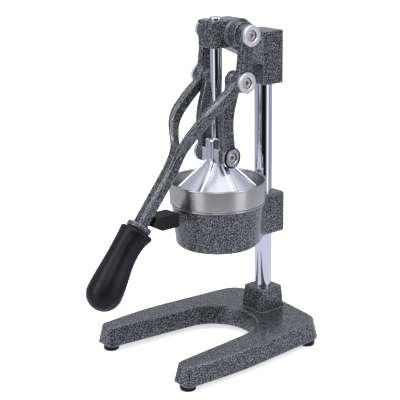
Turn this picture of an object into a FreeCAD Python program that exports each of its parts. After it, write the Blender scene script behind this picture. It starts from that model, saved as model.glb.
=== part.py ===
"""Hand-lever citrus press: base, column, cup bracket, head, forked lever, links and press bell.

Millimetres. The origin is on the table under the press axis, +Z is up and the lever points to -Y.
"""
import FreeCAD, Part
import math
import os

V = FreeCAD.Vector
X_AXIS = V(1, 0, 0)
Y_AXIS = V(0, 1, 0)
Z_AXIS = V(0, 0, 1)

# Fits
slip = 0.05             # radial room of pins, screws and seats
running = 0.05          # radial room of turning and sliding fits
side_play = 0.3         # room beside a turning eye
rest_gap = 0.3          # room between parts that meet at rest
corner_share = 0.49     # most of a straight run that a rounded corner may take
tip_room = 1.0          # room past the tip of a screw or stud
same = 0.01             # two places nearer than this are one

# Column and its bolt
column_y = 74.0
column_radius = 11.0
column_end = 1.0        # edge chamfer of the column
bolt_radius = 5.0
bolt_head_flats = 16.0
bolt_head_height = 6.4
bolt_grip = 25.0        # thread length inside the column
washer_radius = 10.0
washer_thick = 2.0
bolt_recess_room = 1.0
bolt_recess_depth = 9.0

# Base casting
foot_height = 8.5
base_height = 23.5
base_front = 121.5
leg_outer_x = 90.5
leg_width = 29.0
leg_corner = 6.0
bulge_out = 4.0
bulge_y = -45.0
bulge_round = 500.0
rear_x = 82.5
rear_behind = 26.0      # rear corners behind the column
rear_round = 24.0
rear_crown = 10.0
rear_crown_round = 150.0
mouth_half = 45.5
mouth_ahead = 34.0      # end of the U's mouth before the column
mouth_round = 52.0
side_draft = 2.0
edge_draft = 4.0
base_edge = 1.2
base_wall = 6.0
base_roof = 7.0
boss_wall = 6.2         # wall of the column's square boss at its top
boss_draft = 2.5
boss_height = 29.0
boss_corner = 3.0
boss_sink = 6.0
boss_edge = 1.5
socket_floor = 15.5     # floor of the column's socket over the underside
under_boss_wall = 8.0   # wall of the boss under the roof round the bolt's recess

# Feet and their screws
foot_radius = 10.0
foot_edge = 1.5
foot_taper = 0.8
foot_front_in = 11.5
foot_rear_in = 10.0
foot_rear_behind = 8.0
foot_boss_wall = 6.0
foot_screw_radius = 2.0
foot_screw_head = 4.0
foot_screw_head_height = 2.6
foot_screw_grip = 9.0
foot_recess_room = 0.6
foot_recess_depth = 4.2

# Cup bracket
bracket_bottom = 133.0
bracket_height = 52.5
ring_top_radius = 55.5
ring_taper = 4.9
ring_low_round = 7.0
ring_wall = 6.0
ring_ledge = 8.5        # width of the ledge inside the ring's floor
ring_floor = 6.0
clamp_wall = 7.0        # wall beside the column
clamp_behind = 20.0
clamp_drop = 1.0
clamp_corner = 3.0
clamp_waist_ahead = 15.0
clamp_waist_round = 16.0
clamp_root_x = 36.0
clamp_root_y = 36.0
clamp_edge = 2.0
lug_half = 8.0
lug_height = 9.0
lug_drop = 4.5
lug_cover = 14.6        # rubber between the lug's end and the lever
lug_corner = 2.0
set_screw_radius = 4.0
set_screw_sink = 0.6
set_screw_flats = 4.0
bracket_screw_rise = 23.0

# Lever bumper
bumper_half = 13.5
bumper_rear_gap = 12.0   # from the ring to the block
bumper_pad = 9.0        # height of the sloping pad under the lever
bumper_rise = 1.5
bumper_height = 16.8
bumper_chin = 14.5      # chin behind the pad's foot
bumper_edge = 2.5
bumper_bevel = 2.2

# Funnel and strainer cup
funnel_lip_radius = 57.5
funnel_wall = 1.5
funnel_room = 1.9       # from the ring's bore to the funnel
funnel_depth = 22.5
funnel_cone = 19.0
funnel_spout_radius = 13.0
funnel_spout_length = 18.0
cup_wall = 1.2
cup_floor_radius = 57.7
cup_flare = 0.7
cup_height = 26.3
cup_bead = 1.0          # how far the rolled rim stands out
cup_bead_height = 2.6
reamer_radius = 38.0
reamer_height = 36.0
reamer_tip_radius = 7.0
reamer_tip_round = 6.0
reamer_ribs = 8
reamer_rib_half = 1.5
reamer_rib_rise = 2.0
reamer_rib_drop = 3.0   # crest of the ribs under the tip
reamer_rib_root = 4.0
slot_count = 16
slot_in = 4.0           # from the reaming cone to the slots
slot_length = 12.0
slot_half = 1.25

# Press bell
bell_clear = 12.0       # rim over the cup's floor
bell_rim_radius = 51.0
bell_height = 31.0
bell_shoulder_radius = 19.5
bell_shoulder_round = 8.0
bell_wall = 3.2
bell_roof_rise = 3.0
bell_roof_radius = 11.0
bell_roof_round = 6.0
bell_ribs = 6
bell_rib_turn = -70.0
bell_rib_half = 2.4
bell_rib_rise = 2.0
bell_fin_rise = 2.5
bell_neck_radius = 11.4
bell_neck_rise = 9.0
bell_neck_round = 6.0
bell_neck_height = 35.0
lug_pad_x = 15.5
lug_pad_half = 11.0
lug_pad_over = 8.7
lug_pad_under = 7.3
lug_pad_point = 10.0
lug_pad_round = 2.0
eye_room = 1.2

# Guide rod and cap
rod_radius = 7.0
rod_seat_depth = 15.0
rod_tip_radius = 3.0
rod_tip_height = 1.8
cap_radius = 7.6
cap_height = 3.2
cap_dome = 0.9

# Pivots, as heights over each other
lower_rise = 45.3       # lower pivot over the bell's rim
link_rise = 89.7        # middle pivot over the lower one
link_lean = 9.7
pivot_rise = 53.7       # upper pivot over the middle one
pivot_lean = 7.2
boss_face_x = 29.0
sleeve_face_x = 44.7
lower_sleeve_face_x = 29.0
flange_thick = 3.9
flange_radius = 12.5
flange_edge = 0.8
barrel_radius = 9.0
recess_room = 0.8
recess_depth = 7.6
pivot_screw_radius = 4.0
pivot_screw_head = 6.5
pivot_screw_head_height = 6.4
pivot_screw_flats = 6.0
pivot_screw_socket = 3.5
pivot_screw_tip_x = 4.0

# Head casting
nose_half = 13.9
nose_front_y = -16.2
nose_over = 16.3        # nose over the upper pivot
nose_under = 15.3
nose_behind = 15.1      # end of the nose's flat top behind the pivot
nose_under_y = 9.5
neck_ahead = 16.2
neck_drop = 37.7
block_wall = 7.1        # wall beside the column
block_behind = 16.4
block_drop = 2.2
block_height = 64.1
block_cover = 11.5      # metal over the column's end
flare_ahead = 15.8
head_edge = 3.0
head_ease = 0.4         # plan corners past the end faces, so that the roundings cross
head_round = 8.0
pivot_boss_radius = 14.0
pivot_boss_foot = 1.6   # step round the boss's foot
pivot_boss_step = 1.5
head_screw_low_rise = 15.6
head_screw_gap = 29.0
bush_wall = 2.0
bush_sink = 0.3

# Lever casting
eye_radius = 12.5
upper_arm_half = 9.0
upper_arm_play = 0.5
arm_play = 1.2          # from the links to the lever's arms
arm_thick = 9.5
arm_bow = 17.0          # bow of the fork above the line from pivot to collar
arm_half_depth = 8.0
shaft_half = 7.5
fork_spread_end = 34.0
fork_inner_lead = 4.0
fork_turn = 70.0
fork_turn_inner_x = 20.0
crotch = 97.0
crotch_half = 5.0
neck_lead = 5.0         # from the crotch to the start of the neck
neck_start = crotch + neck_lead
neck_swell = 1.5
neck_run = 10.0
neck_end = neck_start + neck_run
shaft_past_pad = 7.3    # from the foot of the bumper's pad to the collar
lever_angle = 50.9      # fall of the lever below level
fork_round = 55.0
neck_round = 27.5
bend_round = 160.0
shaft_taper = 1.0
lever_edge = 2.4
arm_edge = 3.5
collar_radius = 15.0
collar_thick = 7.0
collar_edge = 1.5

# Grip
grip_bend = 2.0         # turn of the grip below the lever's line
grip_gap = 1.0
grip_length = 101.5
grip_mouth_radius = 19.4
grip_mouth_edge = 0.6
grip_lip = 5.0
grip_neck_swell = 1.2
grip_neck_lift = 0.9
grip_waist_radius = 17.0
grip_waist = 28.0
grip_waist_lift = 3.0
grip_bulb_radius = 21.2
grip_bulb_ease = 0.2
grip_end_turns = (0, 30, 55, 74, 86)   # degrees round the end
stud_radius = 5.0
stud_in_lever = 14.0
stud_in_grip = 55.0

# Press links
link_play = 0.5         # from the bell's lugs to the links
link_thick = 9.0
link_eye_radius = 12.0
link_half = 9.2
link_bow = 9.5
link_bow_round = 80.0
link_edge = 1.2

# Heights and places that follow
base_top = foot_height + base_height
base_socket = foot_height + socket_floor
leg_inner_x = leg_outer_x - leg_width
foot_front_x = (leg_inner_x + leg_outer_x) / 2
foot_front_y = foot_front_in - base_front
foot_rear_x = rear_x - foot_rear_in
foot_rear_y = column_y + foot_rear_behind
boss_half = column_radius + boss_wall
bolt_recess_radius = washer_radius + bolt_recess_room
foot_recess_radius = foot_screw_head + foot_recess_room
bracket_top = bracket_bottom + bracket_height
ring_bore_radius = ring_top_radius - ring_wall
clamp_half = column_radius + clamp_wall
clamp_rear_y = column_y + clamp_behind
clamp_top = bracket_top - clamp_drop
lug_top = bracket_top - lug_drop
lug_low = lug_top - lug_height
bracket_screw_z = bracket_bottom + bracket_screw_rise
bumper_top = bracket_top + bumper_rise
bumper_bottom = bumper_top - bumper_height
bumper_rear_y = -ring_top_radius - bumper_rear_gap
cup_floor = bracket_top + funnel_wall
funnel_radius = ring_bore_radius - funnel_room
bell_rim = cup_floor + bell_clear
bell_shoulder = bell_rim + bell_height
bell_neck_top = bell_shoulder + bell_neck_height
rod_seat = bell_neck_top - rod_seat_depth
lower_z = bell_rim + lower_rise
mid_y = link_lean
mid_z = lower_z + link_rise
upper_y = mid_y + pivot_lean
upper_z = mid_z + pivot_rise
recess_radius = pivot_screw_head + recess_room
nose_top = upper_z + nose_over
nose_bottom = upper_z - nose_under
bush_radius = rod_radius + bush_wall
neck_y = column_y - neck_ahead
block_half = column_radius + block_wall
block_rear_y = column_y + block_behind
block_top = upper_z - block_drop
block_bottom = block_top - block_height
head_socket_top = block_top - block_cover
head_screw_low = block_bottom + head_screw_low_rise
head_screw_high = head_screw_low + head_screw_gap
link_inner_x = lug_pad_x + link_play
link_outer_x = link_inner_x + link_thick
arm_inner_x = link_outer_x + arm_play
arm_outer_x = arm_inner_x + arm_thick
upper_arm_inner_x = boss_face_x + upper_arm_play
eye_outer_x = sleeve_face_x - flange_thick - side_play
lever_fall = math.radians(lever_angle)
shaft_under = shaft_half + rest_gap
pad_drop = mid_z - bumper_top + bumper_pad - shaft_under * math.cos(lever_fall)
lever_length = pad_drop / math.sin(lever_fall) + shaft_past_pad
grip_fall = lever_fall + math.radians(grip_bend)
hex_reach = 1.0 / math.cos(math.pi / 6)


def rounded(corners, place):
    """Closed wire through corners (u, v, radius), each rounded by a tangent arc."""
    count = len(corners)
    ends = []
    for i, (u, v, radius) in enumerate(corners):
        here = V(u, v, 0)
        back = V(*corners[i - 1][:2], 0) - here
        ahead = V(*corners[(i + 1) % count][:2], 0) - here
        half = back.getAngle(ahead) / 2
        room = corner_share * min(back.Length, ahead.Length) * math.tan(half)
        radius = min(radius, room)
        back.normalize()
        ahead.normalize()
        run = radius / math.tan(half)
        middle = back + ahead
        top = here
        if radius > 0:
            middle.normalize()
            top = here + middle * (radius / math.sin(half) - radius)
        ends.append((here + back * run, top, here + ahead * run, radius))
    edges = []
    for i, (start, top, finish, radius) in enumerate(ends):
        begin, arc_top, end = (place(p.x, p.y) for p in (start, top, finish))
        if radius > 0:
            edges.append(Part.Arc(begin, arc_top, end).toShape())
        after = ends[(i + 1) % count][0]
        edges.append(Part.LineSegment(end, place(after.x, after.y)).toShape())
    return Part.Wire(edges)


def side_view(x):
    """Placer of side-view points (y, z) on the plane at x."""
    return lambda y, z: V(x, y, z)


def plan_view(z):
    """Placer of plan points (x, y) on the plane at z."""
    return lambda x, y: V(x, y, z)


def radial_view(radius, z):
    """Place a revolve profile's (radius, z) on the XZ plane."""
    return V(radius, 0, z)


def prism(corners, place, sweep):
    """Solid of a rounded outline pushed along a vector."""
    return Part.Face(rounded(corners, place)).extrude(sweep)


def turned(corners, centre=V(0, 0, 0)):
    """Solid of revolution about the vertical through centre."""
    solid = Part.Face(rounded(corners, radial_view)).revolve(V(0, 0, 0), Z_AXIS, 360)
    solid.translate(centre)
    return solid


def across(radius, x_from, x_to, y, z):
    """Cylinder along X between two x values."""
    return Part.makeCylinder(radius, x_to - x_from, V(x_from, y, z), X_AXIS)


def upright(radius, z_from, z_to, x=0.0, y=0.0):
    """Cylinder along Z between two heights."""
    return Part.makeCylinder(radius, z_to - z_from, V(x, y, z_from), Z_AXIS)


def both_sides(shape):
    """The shape and its mirror image across the YZ plane."""
    return [shape, shape.mirror(V(0, 0, 0), X_AXIS)]


def hexagon(flats, sweep, start):
    """Hexagonal bar of given width across flats, pushed along a vector from start."""
    reach = flats / 2 * hex_reach
    tips = [V(reach * math.cos(k * math.pi / 3), reach * math.sin(k * math.pi / 3), 0) for k in range(7)]
    bar = Part.Face(Part.makePolygon(tips)).extrude(V(0, 0, sweep.Length))
    bar.Placement = FreeCAD.Placement(start, FreeCAD.Rotation(Z_AXIS, sweep))
    return bar


def around(shape, count, first=0.0):
    """Copies of a shape spaced evenly about the press axis, the first turned by so many degrees."""
    copies = []
    for k in range(count):
        copy = shape.copy()
        copy.rotate(V(0, 0, 0), Z_AXIS, first + 360.0 * k / count)
        copies.append(copy)
    return copies


def edges_at(shape, x=None, z=None):
    """Edges that lie in the plane at a given x or z."""
    found = []
    for edge in shape.Edges:
        box = edge.BoundBox
        on_x = x is None or max(abs(box.XMin - x), abs(box.XMax - x)) < same
        on_z = z is None or max(abs(box.ZMin - z), abs(box.ZMax - z)) < same
        if on_x and on_z:
            found.append(edge)
    return found


def foot_places():
    """Plan positions of the four feet."""
    front = [(side * foot_front_x, foot_front_y) for side in (1, -1)]
    return front + [(side * foot_rear_x, foot_rear_y) for side in (1, -1)]


def base_outline(z, side, edge):
    """U-shaped plan of the base at height z, drawn in by side along the legs and by edge elsewhere."""
    right = [
        (leg_inner_x + edge, -base_front + edge, leg_corner),
        (leg_outer_x - edge, -base_front + edge, leg_corner),
        (leg_outer_x + bulge_out - side, bulge_y, bulge_round),
        (rear_x - edge, column_y + rear_behind - edge, rear_round),
    ]
    middle = [(0.0, column_y + rear_behind + rear_crown - edge, rear_crown_round)]
    mouth = (mouth_half + edge, column_y - mouth_ahead + edge, mouth_round)
    left = [(-x, y, radius) for x, y, radius in reversed(right)]
    inner = [(-mouth[0], mouth[1], mouth[2]), mouth]
    return rounded(right + middle + left + inner, plan_view(z))


def square(half, corner, z):
    """Rounded square about the column axis."""
    signs = ((1, -1), (1, 1), (-1, 1), (-1, -1))
    corners = [(sx * half, column_y + sy * half, corner) for sx, sy in signs]
    return rounded(corners, plan_view(z))


def base_hollow():
    """Room under the base's roof, round the bosses of the feet and of the column."""
    roof = base_top - base_roof
    lift = (roof - foot_height) / base_height
    low = base_outline(foot_height, base_wall, base_wall)
    high = base_outline(roof, base_wall + side_draft * lift, base_wall + edge_draft * lift)
    room = Part.makeLoft([low, high], True, True)
    bosses = [upright(bolt_recess_radius + under_boss_wall, foot_height, roof, 0, column_y)]
    for x, y in foot_places():
        bosses.append(upright(foot_screw_radius + foot_boss_wall, foot_height, roof, x, y))
    return room.cut(bosses)


def base_casting():
    """U-shaped base, hollow underneath, with the column's square boss and tapped holes for the feet."""
    slab = Part.makeLoft([
        base_outline(foot_height, 0, 0),
        base_outline(base_top, side_draft, edge_draft),
    ], True, True)
    slab = slab.makeChamfer(base_edge, edges_at(slab, z=base_top))
    boss_top = base_top + boss_height
    low = square(boss_half + boss_draft, boss_corner, base_top - boss_sink)
    boss = Part.makeLoft([low, square(boss_half, boss_corner, boss_top)], True, True)
    boss = boss.makeChamfer(boss_edge, edges_at(boss, z=boss_top))
    recess_top = foot_height + bolt_recess_depth
    cuts = [
        base_hollow(),
        upright(column_radius + slip, base_socket, boss_top, 0, column_y),
        upright(bolt_radius + slip, foot_height, base_socket, 0, column_y),
        upright(bolt_recess_radius, foot_height, recess_top, 0, column_y),
    ]
    screw_end = foot_height + foot_screw_grip + tip_room
    for x, y in foot_places():
        cuts.append(upright(foot_screw_radius + slip, foot_height, screw_end, x, y))
    return slab.fuse(boss).cut(cuts).removeSplitter()


def rubber_feet():
    """Four tapered rubber feet with a recess for the screw head."""
    bottom_radius = foot_radius - foot_taper
    profile = [
        (foot_screw_radius + slip, foot_height, 0),
        (foot_screw_radius + slip, foot_recess_depth, 0),
        (foot_recess_radius, foot_recess_depth, 0),
        (foot_recess_radius, 0.0, 0),
        (bottom_radius - foot_edge, 0.0, 0),
        (bottom_radius, foot_edge, 0),
        (foot_radius, foot_height, 0),
    ]
    return [turned(profile, V(x, y, 0)) for x, y in foot_places()]


def feet_screws():
    """Four screws that hold the feet."""
    screws = []
    for x, y in foot_places():
        under = foot_recess_depth - foot_screw_head_height
        head = upright(foot_screw_head, under, foot_recess_depth, x, y)
        shank = upright(foot_screw_radius, foot_recess_depth, foot_height + foot_screw_grip, x, y)
        screws.append(head.fuse(shank).removeSplitter())
    return screws


def column_bar():
    """Chromed column with chamfered ends and a tapped foot."""
    top = head_socket_top - column_end
    bar = upright(column_radius, base_socket, top, 0, column_y)
    bar = bar.makeChamfer(column_end, edges_at(bar, z=base_socket) + edges_at(bar, z=top))
    thread_end = base_socket + bolt_grip + tip_room
    return bar.cut(upright(bolt_radius + slip, base_socket, thread_end, 0, column_y))


def column_bolt():
    """Hexagon bolt up through the base into the column."""
    seat = foot_height + bolt_recess_depth - washer_thick
    head = hexagon(bolt_head_flats, V(0, 0, bolt_head_height), V(0, column_y, seat - bolt_head_height))
    shank = upright(bolt_radius, seat, base_socket + bolt_grip, 0, column_y)
    return head.fuse(shank).removeSplitter()


def column_washer():
    """Washer between the bolt head and the base."""
    top = foot_height + bolt_recess_depth
    disc = upright(washer_radius, top - washer_thick, top, 0, column_y)
    return disc.cut(upright(bolt_radius + slip, top - washer_thick, top, 0, column_y))


def set_screw(rear_y, z):
    """Grub screw with a hexagon socket, its tip against the column."""
    front = column_y + column_radius + slip
    end = rear_y - set_screw_sink
    screw = Part.makeCylinder(set_screw_radius, end - front, V(0, front, z), Y_AXIS)
    depth = (end - front) / 2
    return screw.cut(hexagon(set_screw_flats, V(0, depth, 0), V(0, end - depth, z)))


def set_screw_hole(rear_y, z):
    """Tapped hole from the rear face to the column's bore."""
    return Part.makeCylinder(set_screw_radius + slip, rear_y - column_y, V(0, column_y, z), Y_AXIS)


def cup_bracket():
    """Tapered ring with a floor, a clamp block round the column and a front lug for the bumper."""
    ring = turned([
        (0.0, bracket_bottom, 0),
        (ring_top_radius - ring_taper, bracket_bottom, ring_low_round),
        (ring_top_radius, bracket_top, 0),
        (0.0, bracket_top, 0),
    ])
    half_plan = [
        (clamp_root_x, clamp_root_y, 0),
        (clamp_half, column_y - clamp_waist_ahead, clamp_waist_round),
        (clamp_half, clamp_rear_y, clamp_corner),
    ]
    plan = half_plan + [(-x, y, radius) for x, y, radius in reversed(half_plan)]
    clamp = prism(plan, plan_view(bracket_bottom), V(0, 0, clamp_top - bracket_bottom))
    level = edges_at(clamp, z=bracket_bottom) + edges_at(clamp, z=clamp_top)
    clamp = clamp.makeChamfer(clamp_edge, [e for e in level if e.BoundBox.YMin > column_y])
    lug_front_y = bumper_lug_front()
    lug = prism([
        (-ring_bore_radius, lug_low, 0),
        (-ring_bore_radius, lug_top, 0),
        (lug_front_y, lug_top, lug_corner),
        (lug_front_y, lug_low, lug_corner),
    ], side_view(-lug_half), V(2 * lug_half, 0, 0))
    bore = turned([
        (0.0, bracket_bottom, 0),
        (ring_bore_radius - ring_ledge, bracket_bottom, 0),
        (ring_bore_radius - ring_ledge, bracket_bottom + ring_floor, 0),
        (ring_bore_radius, bracket_bottom + ring_floor, 0),
        (ring_bore_radius, bracket_top, 0),
        (0.0, bracket_top, 0),
    ])
    return ring.fuse([clamp, lug]).cut([
        bore,
        upright(column_radius + slip, bracket_bottom, clamp_top, 0, column_y),
        set_screw_hole(clamp_rear_y, bracket_screw_z),
    ]).removeSplitter()


def bumper_lug_front():
    """End of the bracket's lug, covered by the bumper's rubber."""
    return lever_underside(lug_top) + lug_cover


def lever_underside(z):
    """Side-view y just under the resting lever's shaft at height z."""
    along = (mid_z - z - shaft_under * math.cos(lever_fall)) / math.sin(lever_fall)
    return lever_point(along, -shaft_under)[0]


def lever_bumper():
    """Moulded rubber block pushed over the bracket's lug, its pad sloped as the lever is."""
    pad_low = bumper_top - bumper_pad
    pad_foot = lever_underside(pad_low)
    block = prism([
        (bumper_rear_y, bumper_bottom, bumper_edge),
        (bumper_rear_y, bumper_top, bumper_edge),
        (lever_underside(bumper_top), bumper_top, bumper_edge),
        (pad_foot, pad_low, bumper_edge),
        (pad_foot + bumper_chin, bumper_bottom, 2 * bumper_edge),
    ], side_view(-bumper_half), V(2 * bumper_half, 0, 0))
    block = block.makeChamfer(bumper_bevel, edges_at(block, x=bumper_half) + edges_at(block, x=-bumper_half))
    front = bumper_lug_front() - slip
    pocket = Part.makeBox(
        2 * (lug_half + slip), bumper_rear_y - front, lug_height + 2 * slip,
        V(-lug_half - slip, front, lug_low - slip))
    return block.cut(pocket)


def juice_funnel():
    """Pressed funnel that hangs in the ring by its lip."""
    inner = funnel_radius - funnel_wall
    spout = funnel_spout_radius - funnel_wall
    shoulder = bracket_top - funnel_depth
    spout_top = shoulder - funnel_cone
    spout_end = spout_top - funnel_spout_length
    return turned([
        (funnel_lip_radius, bracket_top, 0),
        (funnel_radius, bracket_top, 0),
        (funnel_radius, shoulder, 0),
        (funnel_spout_radius, spout_top, 0),
        (funnel_spout_radius, spout_end, 0),
        (spout, spout_end, 0),
        (spout, spout_top + funnel_wall, 0),
        (inner, shoulder + funnel_wall, 0),
        (inner, cup_floor, 0),
        (funnel_lip_radius, cup_floor, 0),
    ])


def strainer_cup():
    """Spun cup with a rolled rim, a slotted floor and a ribbed reaming cone."""
    plate = cup_floor + cup_wall
    tip = cup_floor + reamer_height
    rim = cup_floor + cup_height
    rim_radius = cup_floor_radius + cup_flare
    shell = turned([
        (0.0, tip, 0),
        (reamer_tip_radius, tip, reamer_tip_round),
        (reamer_radius, plate, 0),
        (cup_floor_radius - cup_wall, plate, 0),
        (rim_radius - cup_wall, rim, 0),
        (rim_radius, rim, 0),
        (rim_radius + cup_bead, rim - cup_bead, 0),
        (rim_radius + cup_bead, rim - cup_bead_height + cup_bead, 0),
        (rim_radius, rim - cup_bead_height, 0),
        (cup_floor_radius, cup_floor, 0),
        (reamer_radius - cup_wall, cup_floor, 0),
        (reamer_tip_radius - cup_wall, tip - cup_wall, 0),
        (0.0, tip - cup_wall, 0),
    ])
    rib = prism([
        (reamer_tip_radius - cup_wall, tip - reamer_rib_drop, 0),
        (reamer_tip_radius + cup_wall, tip - cup_wall, 0),
        (reamer_radius + reamer_rib_rise, plate, 0),
        (reamer_radius - reamer_rib_root, plate, 0),
    ], lambda radius, z: V(radius, -reamer_rib_half, z), V(0, 2 * reamer_rib_half, 0))
    slot_from = reamer_radius + slot_in
    slot = Part.makeBox(slot_length, 2 * slot_half, cup_wall, V(slot_from, -slot_half, cup_floor))
    solid = shell.fuse(around(rib, reamer_ribs))
    return solid.cut(around(slot, slot_count)).removeSplitter()


def head_casting():
    """Head: a nose that guides the rod, a block on the column and a boss each side for the lever."""
    profile = [
        (nose_front_y, nose_bottom, head_edge),
        (nose_front_y, nose_top, head_edge),
        (upper_y + nose_behind, nose_top, head_round),
        (neck_y, block_top, head_round),
        (block_rear_y, block_top, head_edge),
        (block_rear_y, block_bottom, head_edge),
        (neck_y, block_bottom, head_edge),
        (neck_y, upper_z - neck_drop, head_round),
        (nose_under_y, nose_bottom, head_round),
    ]
    reach = block_half + head_edge
    side = prism(profile, side_view(-reach), V(2 * reach, 0, 0))
    half_plan = [
        (nose_half, nose_front_y - head_ease, head_edge),
        (nose_half, neck_y - flare_ahead, head_round),
        (block_half, neck_y, head_round),
        (block_half, block_rear_y + head_ease, head_edge),
    ]
    plan = half_plan + [(-x, y, radius) for x, y, radius in reversed(half_plan)]
    height = nose_top - block_bottom + 2 * head_edge
    body = side.common(prism(plan, plan_view(block_bottom - head_edge), V(0, 0, height)))
    foot_x = nose_half + pivot_boss_step
    bosses = []
    for boss in (
        across(pivot_boss_radius + pivot_boss_foot, 0, foot_x, upper_y, upper_z),
        across(pivot_boss_radius, 0, boss_face_x, upper_y, upper_z),
    ):
        bosses += both_sides(boss)
    body = body.fuse(bosses)
    cuts = [
        upright(bush_radius + slip, nose_bottom, nose_top),
        upright(column_radius + slip, block_bottom, head_socket_top, 0, column_y),
        set_screw_hole(block_rear_y, head_screw_low),
        set_screw_hole(block_rear_y, head_screw_high),
    ]
    cuts += both_sides(across(pivot_screw_radius + slip, pivot_screw_tip_x, boss_face_x, upper_y, upper_z))
    return body.cut(cuts).removeSplitter()


def rod_guide_bush():
    """Bronze bush in the nose."""
    sleeve = upright(bush_radius, nose_bottom, nose_top - bush_sink)
    return sleeve.cut(upright(rod_radius + running, nose_bottom, nose_top))


def pivot_sleeve(face_x, root_x, y, z):
    """Flanged sleeve that an eye turns on, recessed for its screw."""
    flange = across(flange_radius, face_x - flange_thick, face_x, y, z)
    flange = flange.makeChamfer(flange_edge, edges_at(flange, x=face_x))
    sleeve = flange.fuse(across(barrel_radius, root_x, face_x - flange_thick, y, z))
    return sleeve.cut([
        across(recess_radius, face_x - recess_depth, face_x, y, z),
        across(pivot_screw_radius + slip, root_x, face_x, y, z),
    ]).removeSplitter()


def pivot_screw(face_x, tip_x, y, z):
    """Socket-head screw seated in a sleeve's recess."""
    seat = face_x - recess_depth
    top = seat + pivot_screw_head_height
    screw = across(pivot_screw_head, seat, top, y, z).fuse(across(pivot_screw_radius, tip_x, seat, y, z))
    socket = hexagon(pivot_screw_flats, V(pivot_screw_socket, 0, 0), V(top - pivot_screw_socket, y, z))
    return screw.cut(socket).removeSplitter()


def lever_point(along, above):
    """Side-view point of the lever, along its line from the middle pivot and above that line."""
    y = mid_y - along * math.cos(lever_fall) - above * math.sin(lever_fall)
    z = mid_z - along * math.sin(lever_fall) + above * math.cos(lever_fall)
    return y, z


def lever_fork():
    """Fork and shaft: the bowed side view and the forked front view cut from one block."""
    depth = arm_half_depth
    band = [
        (0.0, -depth, 0),
        (0.0, depth, 0),
        (fork_turn, arm_bow + depth, bend_round),
        (neck_end, shaft_half + shaft_taper, bend_round),
        (lever_length, shaft_half, 0),
        (lever_length, -shaft_half, 0),
        (neck_end, -shaft_half, bend_round),
        (fork_turn, arm_bow - depth, bend_round),
    ]
    reach = arm_outer_x + arm_thick
    side = prism(band, lambda along, above: V(-reach, *lever_point(along, above)), V(2 * reach, 0, 0))
    outer = [
        (0.0, arm_outer_x, 0),
        (fork_spread_end, arm_outer_x, fork_round),
        (fork_turn, fork_turn_inner_x + arm_thick, fork_round),
        (neck_start, shaft_half + neck_swell, neck_round),
        (neck_end, shaft_half, fork_round),
        (lever_length, shaft_half, 0),
    ]
    inner = [
        (crotch, crotch_half, crotch_half),
        (fork_turn, fork_turn_inner_x, fork_round),
        (fork_spread_end - fork_inner_lead, arm_inner_x, fork_round),
        (0.0, arm_inner_x, 0),
    ]
    left_outer = [(along, -x, radius) for along, x, radius in reversed(outer)]
    left_inner = [(along, -x, radius) for along, x, radius in reversed(inner)]
    reach_down = 2 * (arm_bow + depth)
    low_y, low_z = lever_point(0, -reach_down)
    top_y, top_z = lever_point(0, reach_down)
    front = prism(
        outer + left_outer + left_inner + inner,
        lambda along, x: V(x, *lever_point(along, -reach_down)),
        V(0, top_y - low_y, top_z - low_z))
    fork = side.common(front)
    return fork.makeChamfer(lever_edge, [e for e in fork.Edges if fork_edge(e)])


def fork_edge(edge):
    """Whether an edge runs along the fork, away from its cut ends."""
    run = V(0, -math.cos(lever_fall), -math.sin(lever_fall))
    start = V(0, *lever_point(0, 0))
    spots = [(vertex.Point - start).dot(run) for vertex in edge.Vertexes]
    lengthwise = max(spots) - min(spots) > lever_edge / 2
    return lengthwise or min(spots) > lever_edge and max(spots) < lever_length - lever_edge


def upper_arm():
    """One of the arms from the lever's middle eye up to its pivot on the head."""
    rise = V(0, upper_y - mid_y, upper_z - mid_z)
    length = rise.Length
    rise.normalize()
    aside = V(0, rise.z, -rise.y)
    root = V(upper_arm_inner_x, mid_y, mid_z)
    arm = prism([
        (0.0, -upper_arm_half, 0),
        (0.0, upper_arm_half, 0),
        (length, upper_arm_half, 0),
        (length, -upper_arm_half, 0),
    ], lambda along, over: root + rise * along + aside * over, V(eye_outer_x - upper_arm_inner_x, 0, 0))
    long_edges = [e for e in arm.Edges if abs(e.tangentAt(e.FirstParameter).dot(rise)) > 1 - same]
    return arm.makeFillet(arm_edge, long_edges)


def eye(radius, x_from, x_to, y, z):
    """Disc of an eye with softened rims."""
    disc = across(radius, x_from, x_to, y, z)
    return disc.makeChamfer(link_edge, edges_at(disc, x=x_from) + edges_at(disc, x=x_to))


def grip_frame():
    """Start of the collar and direction of the grip."""
    y, z = lever_point(lever_length, 0)
    return V(0, y, z), V(0, -math.cos(grip_fall), -math.sin(grip_fall))


def lever_casting():
    """Forked hand lever with eyes at the head and at the links, and a collar before the grip."""
    start, run = grip_frame()
    front = start + run * (collar_thick / 2)
    collar = Part.makeCylinder(collar_radius, collar_thick, front, -run)
    rims = [e for e in collar.Edges if e.isClosed()]
    solids = [collar.makeChamfer(collar_edge, rims)]
    for part in (
        upper_arm(),
        eye(eye_radius, upper_arm_inner_x, eye_outer_x, upper_y, upper_z),
        eye(eye_radius, arm_inner_x, eye_outer_x, mid_y, mid_z),
    ):
        solids += both_sides(part)
    bores = [Part.makeCylinder(stud_radius + slip, stud_in_lever + tip_room, front, -run)]
    for y, z in ((upper_y, upper_z), (mid_y, mid_z)):
        bores += both_sides(across(barrel_radius + running, arm_inner_x, eye_outer_x, y, z))
    return lever_fork().fuse(solids).cut(bores).removeSplitter()


def grip_circle(along, radius, lift):
    """Section of the grip at a distance along it, lifted off its line."""
    start, run = grip_frame()
    above = V(0, run.z, -run.y)
    centre = start + run * (collar_thick / 2 + grip_gap + along) + above * lift
    return Part.Wire(Part.makeCircle(radius, centre, run))


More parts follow.
